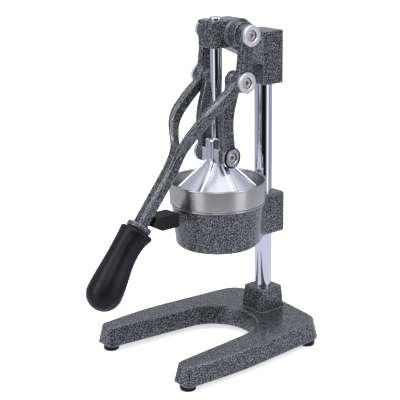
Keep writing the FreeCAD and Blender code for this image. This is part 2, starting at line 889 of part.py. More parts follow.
def grip_handle():
    """Moulded grip: flared mouth, drawn-in waist under the hand and a round bulb."""
    bulb = grip_length - grip_bulb_radius
    sections = [
        (0.0, grip_mouth_radius - grip_mouth_edge, 0.0),
        (grip_lip / 2, grip_mouth_radius, 0.0),
        (grip_lip * 2, grip_waist_radius + grip_neck_swell, grip_neck_lift),
        (grip_waist, grip_waist_radius, grip_waist_lift),
        ((grip_waist + bulb) / 2, (grip_waist_radius + grip_bulb_radius) / 2, grip_waist_lift / 2),
        (bulb - grip_lip, grip_bulb_radius - grip_bulb_ease, 0.0),
    ]
    for turn in grip_end_turns:
        angle = math.radians(turn)
        along = bulb + grip_bulb_radius * math.sin(angle)
        sections.append((along, grip_bulb_radius * math.cos(angle), 0.0))
    body = Part.makeLoft([grip_circle(*section) for section in sections], True)
    start, run = grip_frame()
    mouth = start + run * (collar_thick / 2 + grip_gap)
    return body.cut(Part.makeCylinder(stud_radius + slip, stud_in_grip + tip_room, mouth, run))


def grip_stud():
    """Stud screwed into the lever that carries the grip."""
    start, run = grip_frame()
    root = start + run * (collar_thick / 2 - stud_in_lever)
    return Part.makeCylinder(stud_radius, stud_in_lever + grip_gap + stud_in_grip, root, run)


def press_link():
    """Bowed link between the bell's pivot and the lever's middle eye."""
    rise = V(0, mid_y, mid_z - lower_z)
    length = rise.Length
    rise.normalize()
    ahead = V(0, -rise.z, rise.y)
    root = V(link_inner_x, 0, lower_z)
    band = prism([
        (0.0, link_half, 0),
        (length / 2, link_half + link_bow, link_bow_round),
        (length, link_half, 0),
        (length, -link_half, 0),
        (length / 2, link_bow - link_half, link_bow_round),
        (0.0, -link_half, 0),
    ], lambda along, over: root + rise * along + ahead * over, V(link_thick, 0, 0))
    band = band.fuse([
        across(link_eye_radius, link_inner_x, link_outer_x, 0, lower_z),
        across(link_eye_radius, link_inner_x, link_outer_x, mid_y, mid_z),
    ]).removeSplitter()
    band = band.makeChamfer(link_edge, edges_at(band, x=link_inner_x) + edges_at(band, x=link_outer_x))
    return band.cut([
        across(barrel_radius + running, link_inner_x, link_outer_x, 0, lower_z),
        across(barrel_radius + running, link_inner_x, link_outer_x, mid_y, mid_z),
    ])


def press_cone():
    """Polished bell with radial ribs that go up its neck as fins, and a flat lug each side."""
    neck_foot = bell_shoulder + bell_neck_rise
    outer = turned([
        (0.0, bell_rim, 0),
        (bell_rim_radius, bell_rim, 0),
        (bell_shoulder_radius, bell_shoulder, bell_shoulder_round),
        (bell_neck_radius, neck_foot, bell_neck_round),
        (bell_neck_radius, bell_neck_top, 0),
        (0.0, bell_neck_top, 0),
    ])
    normal = V(bell_height, 0, bell_rim_radius - bell_shoulder_radius)
    normal.normalize()
    lift = normal * bell_rib_rise
    fin_radius = bell_neck_radius + bell_fin_rise
    rib = prism([
        (bell_rim_radius - bell_wall, bell_rim + bell_wall / 2, 0),
        (bell_shoulder_radius + lift.x, bell_shoulder + lift.z, bell_shoulder_round),
        (fin_radius, neck_foot + lift.z, bell_neck_round),
        (fin_radius, bell_neck_top, 0),
        (0.0, bell_neck_top, 0),
        (0.0, bell_rim + bell_wall / 2, 0),
    ], lambda radius, z: V(radius, -bell_rib_half, z), V(0, 2 * bell_rib_half, 0))
    shoulder = lower_z - lug_pad_under
    pad = prism([
        (-lug_pad_half, lower_z + lug_pad_over, lug_pad_round),
        (-lug_pad_half, shoulder, lug_pad_round),
        (0.0, shoulder - lug_pad_point, lug_pad_round),
        (lug_pad_half, shoulder, lug_pad_round),
        (lug_pad_half, lower_z + lug_pad_over, lug_pad_round),
    ], side_view(0), V(lug_pad_x, 0, 0))
    solid = outer.fuse(around(rib, bell_ribs, bell_rib_turn) + both_sides(pad))
    hollow = turned([
        (0.0, bell_rim, 0),
        (bell_rim_radius - bell_wall, bell_rim, 0),
        (bell_roof_radius, bell_shoulder + bell_roof_rise, bell_roof_round),
        (0.0, bell_shoulder + bell_roof_rise, 0),
    ])
    cuts = [hollow, upright(rod_radius + slip, rod_seat, bell_neck_top)]
    cuts += both_sides(across(pivot_screw_radius + slip, pivot_screw_tip_x, lug_pad_x, 0, lower_z))
    cuts += both_sides(across(link_eye_radius + eye_room, lug_pad_x, link_outer_x, 0, lower_z))
    return solid.cut(cuts).removeSplitter()


def guide_rod():
    """Chromed rod from the bell up through the head, with a spigot for its cap."""
    rod = upright(rod_radius, rod_seat, nose_top + rest_gap)
    return rod.fuse(upright(rod_tip_radius, nose_top, nose_top + rest_gap + rod_tip_height)).removeSplitter()


def rod_stop_cap():
    """Cap that stops the rod on the nose."""
    low = nose_top + rest_gap
    top = low + cap_height
    cap = turned([
        (0.0, low, 0),
        (cap_radius, low, 0),
        (cap_radius, top - cap_dome, 0),
        (cap_radius - cap_dome, top, 0),
        (0.0, top, 0),
    ])
    return cap.cut(upright(rod_tip_radius + slip, low, low + rod_tip_height + slip))


def pivot_pair(face_x, root_x, tip_x, y, z):
    """Sleeves and screws of one pivot, both sides."""
    return both_sides(pivot_sleeve(face_x, root_x, y, z)), both_sides(pivot_screw(face_x, tip_x, y, z))


def export(nodes):
    """Write each node's solids to its own file."""
    os.makedirs("parts", exist_ok=True)
    for name, solids in nodes.items():
        shape = Part.makeCompound(solids) if isinstance(solids, list) else solids
        shape.exportStep("parts/" + name + ".step")


def main():
    """Build every piece and write it."""
    upper_sleeves, upper_screws = pivot_pair(sleeve_face_x, boss_face_x, pivot_screw_tip_x, upper_y, upper_z)
    mid_sleeves, mid_screws = pivot_pair(sleeve_face_x, arm_inner_x, arm_inner_x, mid_y, mid_z)
    lower_sleeves, lower_screws = pivot_pair(lower_sleeve_face_x, lug_pad_x, pivot_screw_tip_x, 0, lower_z)
    right_link, left_link = both_sides(press_link())
    export({
        "base_casting": base_casting(),
        "rubber_feet": rubber_feet(),
        "feet_screws": feet_screws(),
        "column_bar": column_bar(),
        "column_bolt": column_bolt(),
        "column_washer": column_washer(),
        "cup_bracket": cup_bracket(),
        "bracket_set_screw": set_screw(clamp_rear_y, bracket_screw_z),
        "lever_bumper": lever_bumper(),
        "juice_funnel": juice_funnel(),
        "strainer_cup": strainer_cup(),
        "head_casting": head_casting(),
        "head_set_screws": [set_screw(block_rear_y, z) for z in (head_screw_low, head_screw_high)],
        "rod_guide_bush": rod_guide_bush(),
        "upper_pivot_sleeves": upper_sleeves,
        "upper_pivot_screws": upper_screws,
        "lever_casting": lever_casting(),
        "grip_handle": grip_handle(),
        "grip_stud": grip_stud(),
        "mid_pivot_sleeves": mid_sleeves,
        "mid_pivot_screws": mid_screws,
        "press_link_right": right_link,
        "press_link_left": left_link,
        "press_cone": press_cone(),
        "guide_rod": guide_rod(),
        "rod_stop_cap": rod_stop_cap(),
        "lower_pivot_sleeves": lower_sleeves,
        "lower_pivot_screws": lower_screws,
    })


main()
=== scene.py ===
"""Looks of a hand-lever citrus press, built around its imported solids.

Every piece is in metres in the frame of the solids: the origin is on the table under the press axis,
+Z is up and the lever's grip points to -Y.
"""
import logging
import math
from dataclasses import dataclass
from enum import Enum
from functools import partial
from typing import Iterable, Sequence

import bmesh
import bpy
from bmesh.types import BMesh, BMVert
from bpy.types import Material, Node, NodeSocket, NodeTree, Object
from mathutils import Matrix, Vector


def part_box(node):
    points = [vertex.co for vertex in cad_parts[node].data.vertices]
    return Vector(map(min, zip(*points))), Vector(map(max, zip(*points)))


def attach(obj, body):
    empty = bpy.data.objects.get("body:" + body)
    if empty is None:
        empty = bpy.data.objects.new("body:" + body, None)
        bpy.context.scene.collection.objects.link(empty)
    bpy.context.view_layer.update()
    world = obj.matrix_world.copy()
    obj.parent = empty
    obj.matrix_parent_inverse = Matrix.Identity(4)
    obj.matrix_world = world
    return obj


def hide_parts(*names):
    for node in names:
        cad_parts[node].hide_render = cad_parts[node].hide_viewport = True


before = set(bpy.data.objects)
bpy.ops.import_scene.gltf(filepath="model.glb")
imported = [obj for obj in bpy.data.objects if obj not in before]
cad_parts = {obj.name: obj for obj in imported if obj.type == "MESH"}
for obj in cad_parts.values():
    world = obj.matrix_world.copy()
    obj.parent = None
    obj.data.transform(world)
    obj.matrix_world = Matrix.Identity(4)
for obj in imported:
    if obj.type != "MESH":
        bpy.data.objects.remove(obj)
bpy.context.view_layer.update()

log = logging.getLogger("citrus_press")
MM = 0.001
WELD = 1e-6
CORNER_SHARE = 0.49
EDGE_PROFILE = 0.6
Pair = tuple[float, float]
Triple = tuple[float, float, float]


class Way(Enum):
    """Turns that point a turned piece's own Z axis up, right or left, in radians about X, Y and Z."""

    UP = (0.0, 0.0, 0.0)
    RIGHT = (0.0, math.pi / 2, 0.0)
    LEFT = (0.0, -math.pi / 2, 0.0)


def linear(colour: str) -> tuple[float, float, float, float]:
    """Turn an sRGB hex colour into Blender's linear colour.

    Args:
        colour: Six hex digits after a hash sign.

    Returns:
        Linear red, green and blue, and full opacity.
    """
    parts = [int(colour[i:i + 2], 16) / 255 for i in (1, 3, 5)]
    lit = [c / 12.92 if c <= 0.04045 else ((c + 0.055) / 1.055) ** 2.4 for c in parts]
    return lit[0], lit[1], lit[2], 1.0


def feed(tree: NodeTree, node: Node, inputs: dict) -> None:
    """Set or link inputs of a node.

    Args:
        tree: Node tree that holds the node.
        node: Node to feed.
        inputs: Constants or output sockets for its inputs, by socket name or index.
    """
    for socket, value in inputs.items():
        target = node.inputs[socket]
        if isinstance(value, NodeSocket):
            tree.links.new(value, target)
        else:
            target.default_value = value


def add_node(tree: NodeTree, kind: str, inputs: dict | None = None, **settings: object) -> Node:
    """Add a node with its constants, links and settings.

    Args:
        tree: Node tree that gets the node.
        kind: Blender's type name of the node.
        inputs: What feeds its inputs.
        settings: Attributes of the node.

    Returns:
        The new node.
    """
    node = tree.nodes.new(kind)
    for name, value in settings.items():
        setattr(node, name, value)
    feed(tree, node, inputs or {})
    return node


def colour_ramp(tree: NodeTree, value: NodeSocket, stops: Iterable[tuple[float, str]]) -> NodeSocket:
    """Colour a value by stops.

    Args:
        tree: Node tree that gets the ramp.
        value: Value from 0 to 1.
        stops: Position and sRGB hex colour of each stop, in rising order.

    Returns:
        The colour.
    """
    ramp = add_node(tree, "ShaderNodeValToRGB", {"Fac": value})
    elements = ramp.color_ramp.elements
    for k, (place, colour) in enumerate(stops):
        element = elements[k] if k < len(elements) else elements.new(place)
        element.position = place
        element.color = linear(colour)
    return ramp.outputs["Color"]


@dataclass(frozen=True)
class Finish:
    """Base of every finish: a Principled surface with its constants on the shader's own sockets."""

    name: str
    colour: str
    roughness: float
    metallic: float = 0.0

    def build(self) -> Material:
        """Make the material.

        Returns:
            The finished material.
        """
        material = bpy.data.materials.new(self.name)
        material.use_nodes = True
        tree = material.node_tree
        tree.nodes.clear()
        shader = add_node(tree, "ShaderNodeBsdfPrincipled", {
            "Base Color": linear(self.colour), "Roughness": self.roughness, "Metallic": self.metallic})
        add_node(tree, "ShaderNodeOutputMaterial", {"Surface": shader.outputs["BSDF"]})
        material.diffuse_color = linear(self.colour)
        self.detail(tree, shader)
        return material

    def detail(self, tree: NodeTree, shader: Node) -> None:
        """Add what the eye sees up close; each finish has its own."""

    def dress(self, slot: str) -> "Dress":
        """Make the material and pair it with its slot."""
        return Dress(slot, self.build())


@dataclass(frozen=True)
class HammeredPaint(Finish):
    """Hammertone enamel, sprayed and baked on grey iron.

    Aluminium flake gathers in small pools with dark rims, so the coat looks speckled and slightly dimpled.
    """

    fleck_mm: float = 0.74
    dimple_mm: float = 0.05
    dimple_strength: float = 0.7
    skew: Triple = (0.6, 0.45, 0.35)
    grain_share: float = 0.75
    stops: Triple = (0.49, 0.56, 0.65)
    dark: str = "#050507"
    pale: str = "#c4c5d3"
    # Painted highlight: a paler colour on the edges, standing in for the glint of light along them.
    edge: str = "#84858f"
    edge_mm: float = 1.6
    edge_samples: int = 8
    edge_turn: Pair = (0.995, 0.95)
    gloss: Pair = (0.45, 0.14)

    def detail(self, tree: NodeTree, shader: Node) -> None:
        """Draw flake pools, their rims, their dimples and a painted highlight along the edges.

        Args:
            tree: The material's nodes.
            shader: Its Principled node.
        """
        add = partial(add_node, tree)
        along = add("ShaderNodeTexCoord").outputs["Object"]
        place = add("ShaderNodeMapping", {"Vector": along, "Rotation": self.skew}).outputs["Vector"]
        pools = add("ShaderNodeTexVoronoi", {"Vector": place, "Scale": 1.0 / (self.fleck_mm * MM)})
        grain = add("ShaderNodeTexNoise", {
            "Vector": place, "Scale": 1.0 / (self.fleck_mm * MM), "Detail": 1.0})
        mixed = add("ShaderNodeMix", {
            0: self.grain_share, 2: pools.outputs["Distance"], 3: grain.outputs["Fac"]})
        flakes = colour_ramp(tree, mixed.outputs[0], zip(self.stops, (self.dark, self.colour, self.pale)))
        # Painted highlight: near an edge the bevelled normal turns away from the face's own, and there the
        # colour turns to the paler edge colour, standing in for light glinting on the edge.
        rounded = add("ShaderNodeBevel", {"Radius": self.edge_mm * MM}, samples=self.edge_samples)
        facing = add("ShaderNodeNewGeometry").outputs["Normal"]
        agree = add("ShaderNodeVectorMath", {
            0: rounded.outputs["Normal"], 1: facing}, operation="DOT_PRODUCT")
        wear_and_highlight = add("ShaderNodeMapRange", {
            "Value": agree.outputs["Value"], "From Min": self.edge_turn[0], "From Max": self.edge_turn[1]})
        coat = add("ShaderNodeMix", {
            0: wear_and_highlight.outputs["Result"], 6: flakes, 7: linear(self.edge)}, data_type="RGBA")
        bump = add("ShaderNodeBump", {
            "Strength": self.dimple_strength, "Distance": self.dimple_mm * MM,
            "Height": mixed.outputs[0], "Normal": rounded.outputs["Normal"]})
        feed(tree, shader, {
            "Base Color": coat.outputs[2], "Normal": bump.outputs["Normal"],
            "Coat Weight": self.gloss[0], "Coat Roughness": self.gloss[1]})


@dataclass(frozen=True)
class Plate(Finish):
    """Polished chrome plate or polished alloy: a mirror with a faint polishing haze."""

    haze: float = 0.04
    haze_mm: float = 9.0
    haze_span: Pair = (0.3, 0.75)

    def detail(self, tree: NodeTree, shader: Node) -> None:
        """Let the polish vary a little over the surface.

        Args:
            tree: The material's nodes.
            shader: Its Principled node.
        """
        place = add_node(tree, "ShaderNodeTexCoord").outputs["Object"]
        cloud = add_node(tree, "ShaderNodeTexNoise", {
            "Vector": place, "Scale": 1.0 / (self.haze_mm * MM), "Detail": 4.0})
        rough = add_node(tree, "ShaderNodeMapRange", {
            "Value": cloud.outputs["Fac"], "From Min": self.haze_span[0], "From Max": self.haze_span[1],
            "To Min": self.roughness, "To Max": self.roughness + self.haze})
        feed(tree, shader, {"Roughness": rough.outputs["Result"]})


@dataclass(frozen=True)
class RimmedPlate(Plate):
    """Chrome plate of the lower sleeves, with a dark rim round the front of each."""

    rim: str = "#1d1e22"
    rim_from_mm: float = 10.6
    front_mm: float = 28.0
    axis_mm: Triple = (0.0, 0.0, 244.3)

    def detail(self, tree: NodeTree, shader: Node) -> None:
        """Darken the rim, by its distance from the pivot's axis and from the middle plane.

        Args:
            tree: The material's nodes.
            shader: Its Principled node.
        """
        super().detail(tree, shader)
        add = partial(add_node, tree)
        place = add("ShaderNodeTexCoord").outputs["Object"]
        off_axis = add("ShaderNodeVectorMath", {
            0: place, 1: Vector(self.axis_mm) * MM}, operation="SUBTRACT")
        marks = []
        for axes, least in (((0.0, 1.0, 1.0), self.rim_from_mm), ((1.0, 0.0, 0.0), self.front_mm)):
            part = add("ShaderNodeVectorMath", {0: off_axis.outputs[0], 1: axes}, operation="MULTIPLY")
            far = add("ShaderNodeVectorMath", {0: part.outputs[0]}, operation="LENGTH")
            marks.append(add("ShaderNodeMath", {
                0: far.outputs["Value"], 1: least * MM}, operation="GREATER_THAN"))
        both = add("ShaderNodeMath", {0: marks[0].outputs[0], 1: marks[1].outputs[0]}, operation="MULTIPLY")
        coat = add("ShaderNodeMix", {
            0: both.outputs[0], 6: linear(self.colour), 7: linear(self.rim)}, data_type="RGBA")
        feed(tree, shader, {"Base Color": coat.outputs[2]})


@dataclass(frozen=True)
class BrushedSteel(Finish):
    """Stainless sheet, spun and brushed in a lathe, so fine lines run round the piece."""

    line_mm: float = 0.45
    line_depth_mm: float = 0.004
    line_strength: float = 0.5
    line_span: Pair = (0.3, 0.7)
    stretch: Triple = (0.03, 0.03, 1.0)
    swing: Pair = (-0.06, 0.10)
    grain: Pair = (0.8, 0.25)

    def detail(self, tree: NodeTree, shader: Node) -> None:
        """Draw the lathe's lines, coarser than real ones so that they show.

        Args:
            tree: The material's nodes.
            shader: Its Principled node.
        """
        add = partial(add_node, tree)
        place = add("ShaderNodeTexCoord").outputs["Object"]
        squash = add("ShaderNodeMapping", {"Vector": place, "Scale": self.stretch})
        lines = add("ShaderNodeTexNoise", {
            "Vector": squash.outputs["Vector"], "Scale": 1.0 / (self.line_mm * MM), "Detail": 3.0})
        rough = add("ShaderNodeMapRange", {
            "Value": lines.outputs["Fac"], "From Min": self.line_span[0], "From Max": self.line_span[1],
            "To Min": self.roughness + self.swing[0], "To Max": self.roughness + self.swing[1]})
        bump = add("ShaderNodeBump", {
            "Strength": self.line_strength, "Distance": self.line_depth_mm * MM,
            "Height": lines.outputs["Fac"]})
        round_way = add("ShaderNodeTangent", direction_type="RADIAL", axis="Z")
        feed(tree, shader, {
            "Roughness": rough.outputs["Result"], "Normal": bump.outputs["Normal"],
            "Tangent": round_way.outputs["Tangent"], "Anisotropic": self.grain[0],
            "Anisotropic Rotation": self.grain[1]})


@dataclass(frozen=True)
class Moulded(Finish):
    """Moulded plastic or rubber: a dark matte skin with a fine even grain."""

    grain_mm: float = 0.5
    grain_depth_mm: float = 0.02
    grain_strength: float = 0.6
    patch_mm: float = 26.0
    patch_stops: Pair = (0.42, 0.72)
    wear_and_highlight: str = "#2a2a2f"
    shine: float = 0.25

    def detail(self, tree: NodeTree, shader: Node) -> None:
        """Draw the mould's grain and slightly paler, handled patches.

        Args:
            tree: The material's nodes.
            shader: Its Principled node.
        """
        place = add_node(tree, "ShaderNodeTexCoord").outputs["Object"]
        grain = add_node(tree, "ShaderNodeTexNoise", {
            "Vector": place, "Scale": 1.0 / (self.grain_mm * MM), "Detail": 2.0})
        bump = add_node(tree, "ShaderNodeBump", {
            "Strength": self.grain_strength, "Distance": self.grain_depth_mm * MM,
            "Height": grain.outputs["Fac"]})
        patch = add_node(tree, "ShaderNodeTexNoise", {
            "Vector": place, "Scale": 1.0 / (self.patch_mm * MM), "Detail": 3.0})
        skin = colour_ramp(tree, patch.outputs["Fac"], zip(self.patch_stops, (self.colour, self.wear_and_highlight)))
        feed(tree, shader, {
            "Base Color": skin, "Normal": bump.outputs["Normal"], "Specular IOR Level": self.shine})


@dataclass(frozen=True)
class LitFloor(Finish):
    """White acrylic sheet lit from below: pale and even, with only soft shadows."""

    glow: float = 0.7

    def detail(self, tree: NodeTree, shader: Node) -> None:
        """Let the sheet glow."""
        feed(tree, shader, {"Emission Color": linear(self.colour), "Emission Strength": self.glow})


@dataclass(frozen=True)
class Dress:
    """A finish once made: its material and the record's slot for it."""

    slot: str
    material: Material


class Finishes:
    """The press's finishes, each made once."""

    def __init__(self) -> None:
        """Make every material."""
        self.paint = HammeredPaint("hammertone_enamel", "#0c0c0f", 0.30, 0.5).dress("hammered_paint")
        self.chrome = Plate("polished_chrome_plate", "#dfe2ea", 0.04, 1.0).dress("chrome")
        self.satin = Plate("satin_chrome_plate", "#f2f3f6", 0.33, 1.0, haze=0.05).dress("chrome")
        self.rimmed = RimmedPlate("dark_rimmed_chrome_plate", "#d9dbe2", 0.2, 1.0,
                                  haze=0.05).dress("chrome")
        self.alloy = Plate("polished_cast_aluminium", "#e4e6ee", 0.22, 1.0,
                           haze=0.06).dress("polished_alloy")
        self.stainless = BrushedSteel("brushed_stainless_steel", "#c1bebb", 0.30, 1.0).dress("stainless")
        self.zinc = Plate("zinc_plated_steel", "#cbc0b3", 0.34, 1.0,
                          haze=0.15, haze_mm=2.0).dress("steel_fasteners")
        self.bronze = Plate("oiled_bronze", "#5b4a33", 0.4, 1.0, haze=0.1).dress("bronze")
        self.plastic = Moulded("moulded_black_plastic", "#09090d", 0.34,
                               wear_and_highlight="#121218").dress("black_plastic")
        self.rubber = Moulded("moulded_black_rubber", "#0a0a0c", 0.5, wear_and_highlight="#111114").dress("black_rubber")


def mesh_object(name: str, bm: BMesh, sharp_deg: float = 35.0) -> Object:
    """Make an object of a finished bmesh, smooth but for its sharp edges.

    Args:
        name: Name of the piece.
        bm: Mesh data, freed here.
        sharp_deg: Edges that turn more than this stay sharp.

    Returns:
        The new object, linked to the scene.
    """
    bmesh.ops.remove_doubles(bm, verts=bm.verts, dist=WELD)
    bmesh.ops.recalc_face_normals(bm, faces=bm.faces)
    limit = math.radians(sharp_deg)
    for face in bm.faces:
        face.smooth = True
    for edge in bm.edges:
        edge.smooth = len(edge.link_faces) == 2 and edge.calc_face_angle() < limit
    mesh = bpy.data.meshes.new(name)
    bm.to_mesh(mesh)
    bm.free()
    piece = bpy.data.objects.new(name, mesh)
    bpy.context.scene.collection.objects.link(piece)
    return piece


def join_rings(bm: BMesh, rings: Sequence[Sequence[BMVert]]) -> None:
    """Skin between neighbouring rings of equal count; a ring on the axis repeats one vertex.

    Args:
        bm: Mesh that holds the rings.
        rings: The rings in order.
    """
    for low, high in zip(rings, rings[1:]):
        count = len(low)
        for k in range(count):
            after = (k + 1) % count
            corners = []
            for vert in (low[k], low[after], high[after], high[k]):
                if vert not in corners:
                    corners.append(vert)
            if len(corners) > 2:
                bm.faces.new(corners)


def round_ring(bm: BMesh, radius: float, height: float,
               steps: Sequence[float], sides: int = 0) -> list[BMVert]:
    """Add one ring about Z.

    Args:
        bm: Mesh that gets the ring.
        radius: Radius in millimetres, or half the width across flats.
        height: Height in millimetres.
        steps: Angles of its points.
        sides: Number of flats, 0 for a round ring.

    Returns:
        The ring's vertices; on the axis one vertex, repeated.
    """
    if radius < WELD:
        return [bm.verts.new((0.0, 0.0, height * MM))] * len(steps)
    ring = []
    for turn in steps:
        reach = radius * MM
        if sides:
            flat = 2 * math.pi / sides
            reach /= math.cos((turn + flat / 2) % flat - flat / 2)
        ring.append(bm.verts.new((reach * math.cos(turn), reach * math.sin(turn), height * MM)))
    return ring


def lathe(profile: Sequence[tuple], segments: int, closed: bool) -> BMesh:
    """Turn a profile about Z.

    Args:
        profile: Radius, height and, where a ring has flats, their number, in millimetres.
        segments: Steps round the axis.
        closed: Whether the profile's last point joins its first.

    Returns:
        The turned mesh.
    """
    bm = bmesh.new()
    steps = [2 * math.pi * k / segments for k in range(segments)]
    rings = [round_ring(bm, point[0], point[1], steps, *point[2:]) for point in profile]
    if closed:
        rings.append(rings[0])
    join_rings(bm, rings)
    return bm


def subdivide(profile: Sequence[Pair], longest: float) -> list[Pair]:
    """Add points to a profile so that no step is longer than a given length.

    Args:
        profile: Points in order.
        longest: Longest step, in the profile's own unit.

    Returns:
        The denser profile.
    """
    points = [profile[0]]
    for (u0, v0), (u1, v1) in zip(profile, profile[1:]):
        count = max(1, math.ceil(math.hypot(u1 - u0, v1 - v0) / longest))
        points += [(u0 + (u1 - u0) * k / count, v0 + (v1 - v0) * k / count) for k in range(1, count + 1)]
    return points


def smooth_stations(stations: Sequence[tuple[float, ...]], steps: int) -> list[tuple[float, ...]]:
    """Run a smooth curve through stations of any width.

    Args:
        stations: Values at each station.
        steps: Steps between neighbours.

    Returns:
        The stations with the steps between them.
    """
    result = []
    last = len(stations) - 1
    for i in range(last):
        before, here = stations[max(i - 1, 0)], stations[i]
        after, beyond = stations[i + 1], stations[min(i + 2, last)]
        for k in range(steps):
            t = k / steps
            result.append(tuple(
                0.5 * (2 * p1 + (p2 - p0) * t + (2 * p0 - 5 * p1 + 4 * p2 - p3) * t * t
                       + (3 * p1 - p0 - 3 * p2 + p3) * t ** 3)
                for p0, p1, p2, p3 in zip(before, here, after, beyond)))
    result.append(tuple(stations[-1]))
    return result


def rounded_profile(corners: Sequence[Triple], steps: int = 5,
                    closed: bool = False) -> list[Pair]:
    """Round the corners of a profile.

    Args:
        corners: Radius, height and rounding of each corner.
        steps: Straight steps in each rounded corner.
        closed: Whether the last corner joins the first.

    Returns:
        The profile's points.
    """
    points: list[Pair] = []
    count = len(corners)
    for i, (u, v, rounding) in enumerate(corners):
        here = Vector((u, v))
        inner = closed or 0 < i < count - 1
        if rounding <= 0 or not inner:
            points.append((u, v))
            continue
        back = Vector(corners[i - 1][:2]) - here
        ahead = Vector(corners[(i + 1) % count][:2]) - here
        run = min(rounding, CORNER_SHARE * min(back.length, ahead.length))
        start, finish = here + back.normalized() * run, here + ahead.normalized() * run
        for k in range(steps + 1):
            t = k / steps
            spot = start * (1 - t) ** 2 + here * 2 * t * (1 - t) + finish * t * t
            points.append((spot.x, spot.y))
    return points


def bake(holder: Object) -> None:
    """Replace an object's modifiers by their plain result.

    Args:
        holder: Object whose modifiers are baked.
    """
    bpy.context.view_layer.update()
    depsgraph = bpy.context.evaluated_depsgraph_get()
    mesh = bpy.data.meshes.new_from_object(holder.evaluated_get(depsgraph))
    holder.modifiers.clear()
    holder.data = mesh
    mesh.name = holder.name


def append_mesh(bm: BMesh, extra: BMesh) -> None:
    """Add one mesh to another.

    Args:
        bm: Mesh that grows.
        extra: Mesh to add, freed here.
    """
    mesh = bpy.data.meshes.new("extra")
    extra.to_mesh(mesh)
    extra.free()
    bm.from_mesh(mesh)
    bpy.data.meshes.remove(mesh)


def bevelled_prism(near: Sequence[tuple], far: Sequence[tuple], edge_mm: float, edge_steps: int) -> BMesh:
    """Make a prism with rounded edges.

    Args:
        near: Corners of one end, in millimetres.
        far: Corners of the other end, in the same order.
        edge_mm: Width of the rounding.
        edge_steps: Steps across it.

    Returns:
        The prism.
    """
    bm = bmesh.new()
    first, second = ([bm.verts.new([c * MM for c in corner]) for corner in end] for end in (near, far))
    bm.faces.new(first)
    bm.faces.new(second[::-1])
    for k in range(len(first)):
        after = (k + 1) % len(first)
        bm.faces.new((first[k], second[k], second[after], first[after]))
    bmesh.ops.recalc_face_normals(bm, faces=bm.faces)
    bmesh.ops.bevel(bm, geom=bm.edges[:], offset=edge_mm * MM, segments=edge_steps, profile=EDGE_PROFILE,
                    affect="EDGES", clamp_overlap=True)
    return bm


def paint_piece(piece: Object, material: Material) -> None:
    """Give a piece one material."""
    piece.data.materials.clear()
    piece.data.materials.append(material)


def settle(piece: Object, body: str, dress: Dress, *nodes: str) -> None:
    """Dress a piece, hang it on its body's empty and hide the solids that it stands for.

    Args:
        piece: The finished piece.
        body: Body that it moves with.
        dress: Its finish.
        nodes: Solids that it replaces.
    """
    paint_piece(piece, dress.material)
    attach(piece, body)
    if nodes:
        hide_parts(*nodes)
    log.info("piece %s on %s, %d faces", piece.name, body, len(piece.data.polygons))


class PlaceTree:
    """Geometry Nodes tree that sets a part at every point of a mesh, turned by the point's own angles."""

    def __init__(self) -> None:
        """Build the tree with its named inputs."""
        self.tree = bpy.data.node_groups.new("parts_at_places", "GeometryNodeTree")
        face = self.tree.interface
        face.new_socket(name="Geometry", in_out="INPUT", socket_type="NodeSocketGeometry")
        self.part = face.new_socket(name="Part", in_out="INPUT", socket_type="NodeSocketObject")
        face.new_socket(name="Geometry", in_out="OUTPUT", socket_type="NodeSocketGeometry")
        add = partial(add_node, self.tree)
        entry = add("NodeGroupInput")
        turns = add("GeometryNodeInputNamedAttribute", {"Name": "turn"}, data_type="FLOAT_VECTOR")
        turn = add("FunctionNodeEulerToRotation", {"Euler": turns.outputs["Attribute"]})
        info = add("GeometryNodeObjectInfo", {"Object": entry.outputs["Part"]})
        copies = add("GeometryNodeInstanceOnPoints", {
            "Points": entry.outputs["Geometry"], "Instance": info.outputs["Geometry"],
            "Rotation": turn.outputs["Rotation"]})
        solid = add("GeometryNodeRealizeInstances", {"Geometry": copies.outputs["Instances"]})
        add("NodeGroupOutput", {"Geometry": solid.outputs["Geometry"]})

    def spread(self, name: str, part: Object, places: Sequence[tuple[Vector, Sequence[float]]]) -> Object:
        """Set a part at each place and bake the result.

        Args:
            name: Name of the new piece.
            part: Shape to repeat, removed afterwards.
            places: Point of each copy, and its turns about X, Y and Z in radians.

        Returns:
            The baked piece.
        """
        mesh = bpy.data.meshes.new(name)
        mesh.from_pydata([tuple(point) for point, _ in places], [], [])
        turns = mesh.attributes.new("turn", "FLOAT_VECTOR", "POINT")
        for item, (_, turn) in zip(turns.data, places):
            item.vector = turn
        piece = bpy.data.objects.new(name, mesh)
        bpy.context.scene.collection.objects.link(piece)
        modifier = piece.modifiers.new("places", "NODES")
        modifier.node_group = self.tree
        modifier[self.part.identifier] = part
        bake(piece)
        bpy.data.objects.remove(part)
        return piece


@dataclass
class Casting:
    """A cast or moulded piece: its solid's own shape, with rounds that shade evenly."""

    node: str
    body: str
    sharp_deg: float = 24.0
    flat_deg: float = 0.4

    def build(self, piece_name: str, dress: Dress) -> None:
        """Copy the solid, shade its rounds evenly and give it its finish.

        Args:
            piece_name: Name of the new piece.
            dress: Its finish.
        """
        bm = bmesh.new()
        bm.from_mesh(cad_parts[self.node].data)
        bmesh.ops.remove_doubles(bm, verts=bm.verts, dist=WELD)
        bmesh.ops.dissolve_limit(bm, angle_limit=math.radians(self.flat_deg), verts=bm.verts, edges=bm.edges)
        piece = mesh_object(piece_name, bm, sharp_deg=self.sharp_deg)
        even = piece.modifiers.new("even_shade", "WEIGHTED_NORMAL")
        even.weight = 100
        even.keep_sharp = True
        bake(piece)
        settle(piece, self.body, dress, self.node)


@dataclass
class Assembly:
    """Base of every sub-assembly: the press's finishes and the tree that repeats parts."""

    finishes: Finishes
    places: PlaceTree


